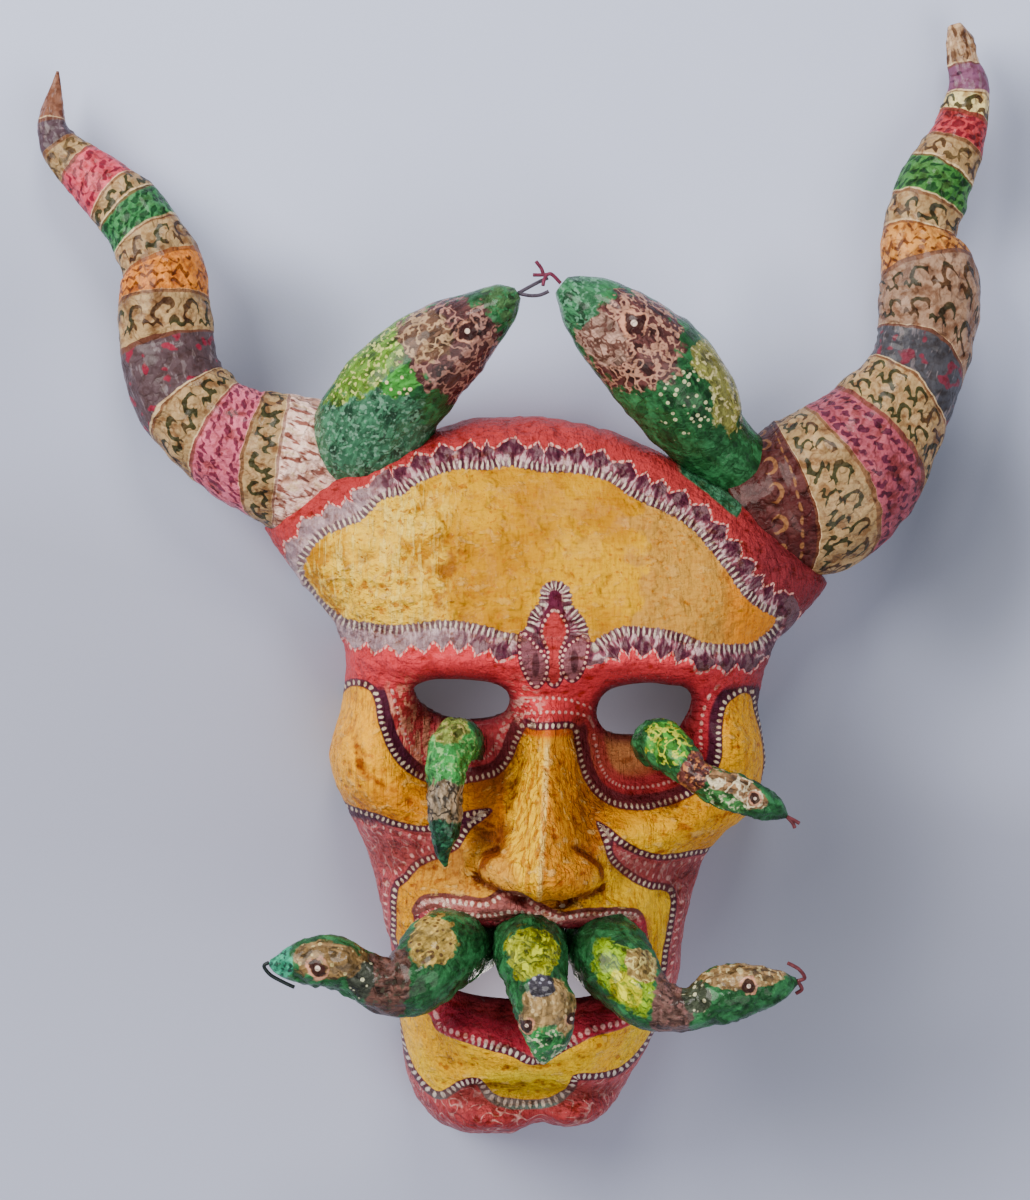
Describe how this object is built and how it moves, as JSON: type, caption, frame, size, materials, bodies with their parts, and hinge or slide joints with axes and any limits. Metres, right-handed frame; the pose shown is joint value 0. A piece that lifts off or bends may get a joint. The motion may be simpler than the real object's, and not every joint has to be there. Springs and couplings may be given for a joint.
{
  "type": "decorative devil mask",
  "caption": "Horned papier-mâché devil mask with snakes rising from the crown and coming out of the eyes and mouth, lying face up on its rim.",
  "frame": {"origin": "middle of the whole mask in X and Y, on the plane that its rim lies on", "axes": "+X to the viewer's right as one looks at the face, +Y to the top of the head and the horn tips, +Z out of the face, up as it lies"},
  "size_m": [0.3508, 0.4113, 0.121],
  "materials": {
    "painted_face": "satin",
    "painted_horn": "satin",
    "painted_snake": "satin",
    "tongue_wire": "satin"
  },
  "bodies": {
    "root": {"face": "painted_face", "left_horn": "painted_horn", "right_horn": "painted_horn", "left_crown_snake": "painted_snake", "right_crown_snake": "painted_snake", "left_eye_snake": "painted_snake", "right_eye_snake": "painted_snake", "left_mouth_snake": "painted_snake", "middle_mouth_snake": "painted_snake", "right_mouth_snake": "painted_snake", "left_crown_tongue": "tongue_wire", "right_crown_tongue": "tongue_wire", "right_eye_tongue": "tongue_wire", "left_mouth_tongue": "tongue_wire", "right_mouth_tongue": "tongue_wire"}
  },
  "joints": []
}
